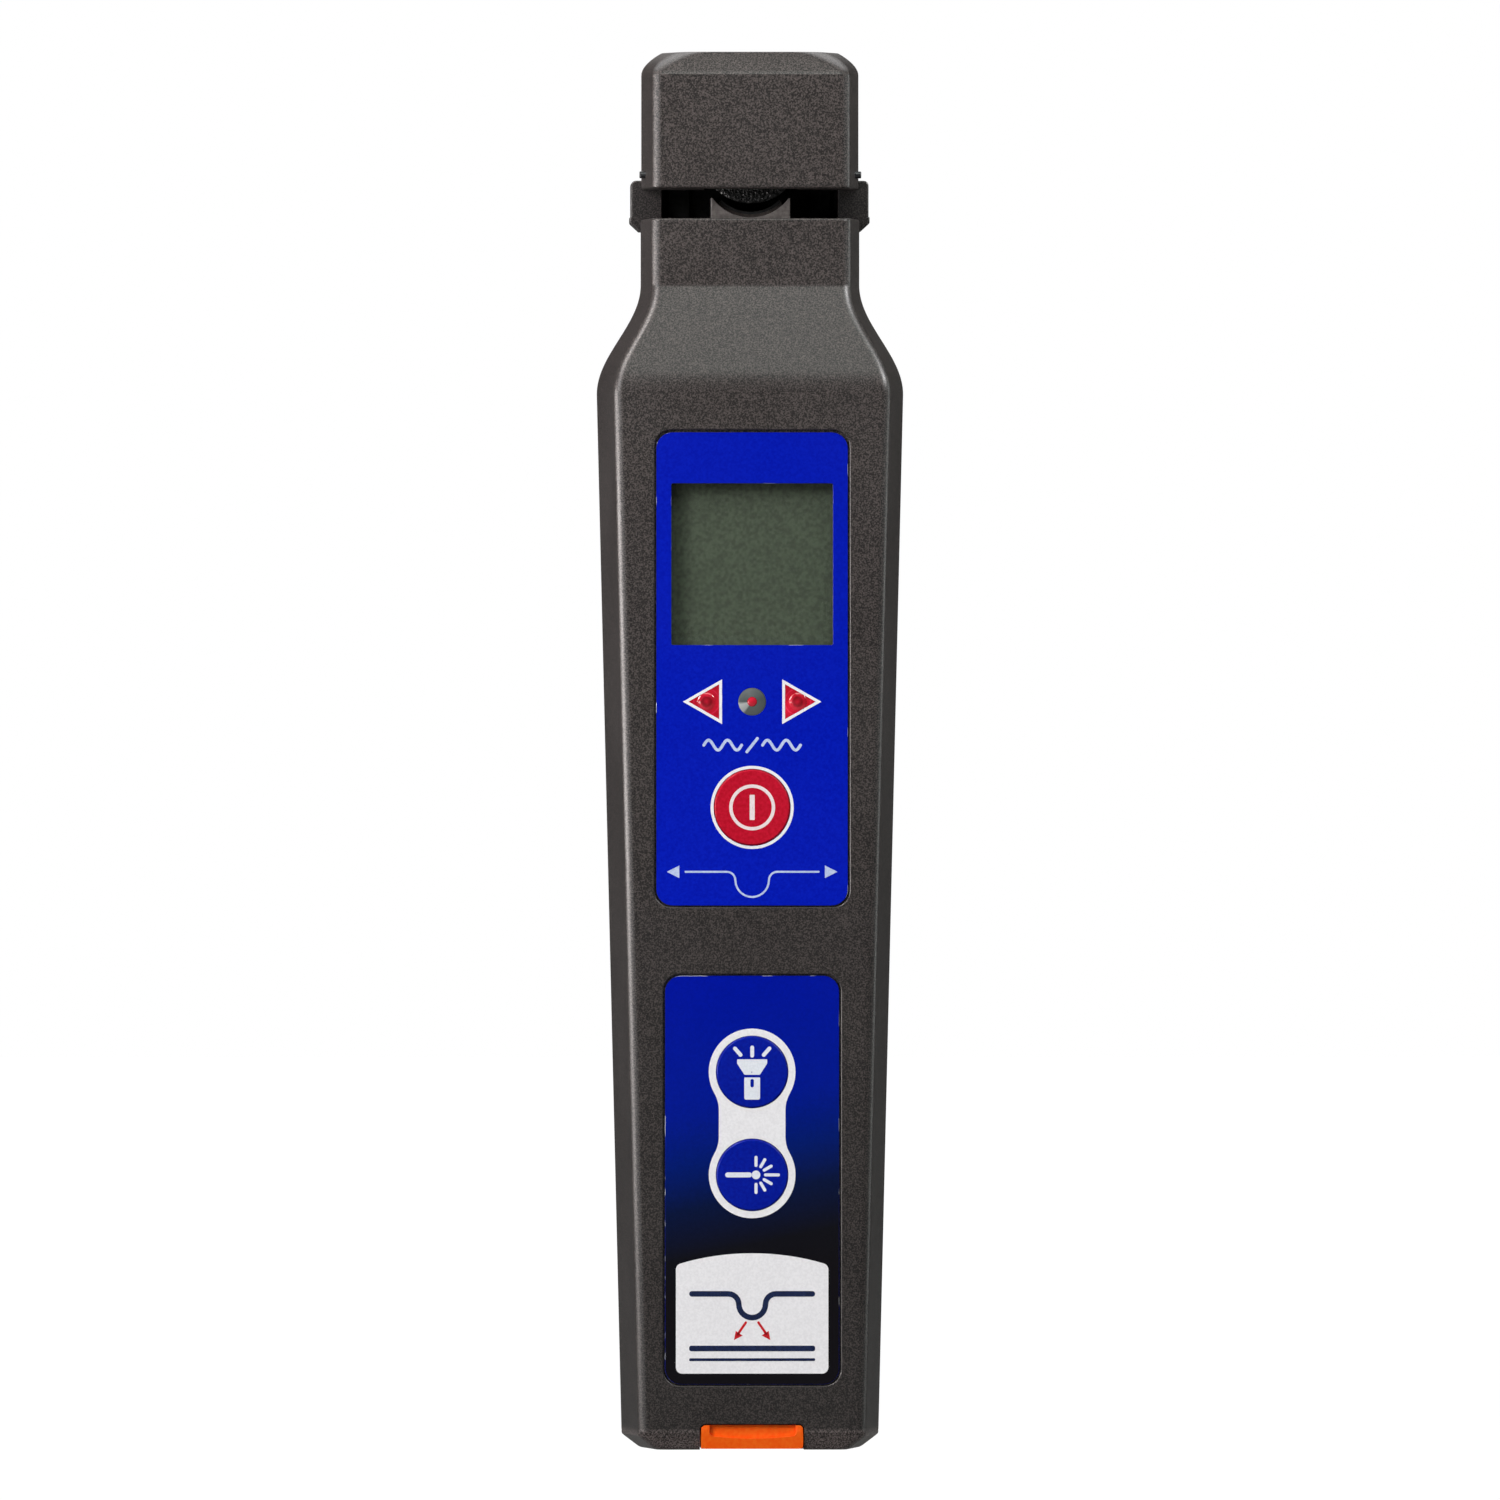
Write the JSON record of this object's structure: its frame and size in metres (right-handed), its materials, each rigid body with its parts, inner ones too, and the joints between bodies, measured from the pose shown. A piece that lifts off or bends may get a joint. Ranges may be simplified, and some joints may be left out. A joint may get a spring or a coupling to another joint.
{
  "type": "optical fibre identifier",
  "caption": "Handheld optical fibre identifier: tapered body with display, keys and laser port, and a head over a slot whose sprung, grooved adapter clamps the fibre.",
  "frame": {"origin": "centre of the bottom end, on which it stands", "axes": "+Z along its length towards the head, -Y out of the display's face, +X to the right of someone who faces the display"},
  "size_m": [0.044, 0.03, 0.2],
  "materials": {
    "shell": "fine spark-textured moulded plastic, warm dark grey",
    "black_plastic": "moulded black plastic",
    "steel": "plain steel",
    "display_film": "printed glossy film, blue",
    "keypad_film": "printed glossy film, blue fading to black",
    "clear_window": "clear acrylic",
    "lcd": "grey-green display glass",
    "white_plastic": "white moulded plastic",
    "board": "green circuit board",
    "red_lens": "tinted epoxy",
    "red_key": "printed glossy film, red",
    "blue_key": "printed glossy film, blue",
    "cell": "sleeved cell",
    "laser_case": "turned aluminium",
    "sleeve": "bored steel sleeve",
    "orange": "moulded orange plastic",
    "torch_lens": "clear acrylic",
    "torch_light": "clear epoxy",
    "foam": "black sponge",
    "adapter": "grey moulded plastic"
  },
  "bodies": {
    "housing": {"front_shell": "shell", "rear_shell": "shell", "head_frame": "shell", "head_cover": "shell", "slide_bracket": "black_plastic", "fibre_presser": "black_plastic", "power_switch": "black_plastic", "torch_switch": "black_plastic", "laser_switch": "black_plastic", "board_chips": "black_plastic", "buzzer": "black_plastic", "shell_screws": "steel", "board_screws": "steel", "head_screws": "steel", "head_cover_screws": "steel", "presser_pin": "steel", "left_return_spring": "steel", "right_return_spring": "steel", "bracket_screws": "steel", "port_cover_pin": "steel", "lower_contacts": "steel", "upper_contacts": "steel", "display_overlay": "display_film", "keypad_overlay": "keypad_film", "lcd_window": "clear_window", "lcd_glass": "lcd", "lcd_frame": "white_plastic", "main_board": "board", "left_light": "red_lens", "right_light": "red_lens", "no_signal_light": "red_lens", "left_cell": "cell", "right_cell": "cell", "laser_module": "laser_case", "laser_sleeve": "sleeve", "torch_lens": "torch_lens", "torch_light": "torch_light", "light_seal": "foam"},
    "clamp_slide": {"carriage": "black_plastic", "detector_board": "board", "fibre_adapter": "adapter", "guide_rods": "steel", "left_photodiode": "steel", "right_photodiode": "steel", "trigger": "black_plastic", "trigger_screws": "steel"},
    "power_key": {"power_button": "red_key"},
    "torch_key": {"torch_button": "blue_key"},
    "laser_key": {"laser_button": "blue_key"},
    "door": {"battery_door": "shell"},
    "cover": {"port_cover": "orange"}
  },
  "joints": [
    {"name": "trigger_slide", "type": "slide", "parent": "housing", "child": "clamp_slide", "axis": [0, 0, -1], "range_m": [0, 0.004], "stiffness_N_per_m": 700, "springref_m": -0.004, "deforming": ["left_return_spring", "right_return_spring"]},
    {"name": "power_press", "type": "slide", "parent": "housing", "child": "power_key", "axis": [0, 1, 0], "range_m": [0, 0.0004], "stiffness_N_per_m": 900, "springref_m": -0.0006},
    {"name": "torch_press", "type": "slide", "parent": "housing", "child": "torch_key", "axis": [0, 1, 0], "range_m": [0, 0.0004], "stiffness_N_per_m": 900, "springref_m": -0.0006},
    {"name": "laser_press", "type": "slide", "parent": "housing", "child": "laser_key", "axis": [0, 1, 0], "range_m": [0, 0.0004], "stiffness_N_per_m": 900, "springref_m": -0.0006},
    {"name": "battery_door_hinge", "type": "hinge", "parent": "housing", "child": "door", "pos_m": [0, 0.0138, 0.00985], "axis": [-1, 0, 0], "range_deg": [0, 75]},
    {"name": "port_cover_hinge", "type": "hinge", "parent": "housing", "child": "cover", "pos_m": [0, 0.002, 0.0012], "axis": [1, 0, 0], "range_deg": [0, 120]}
  ]
}
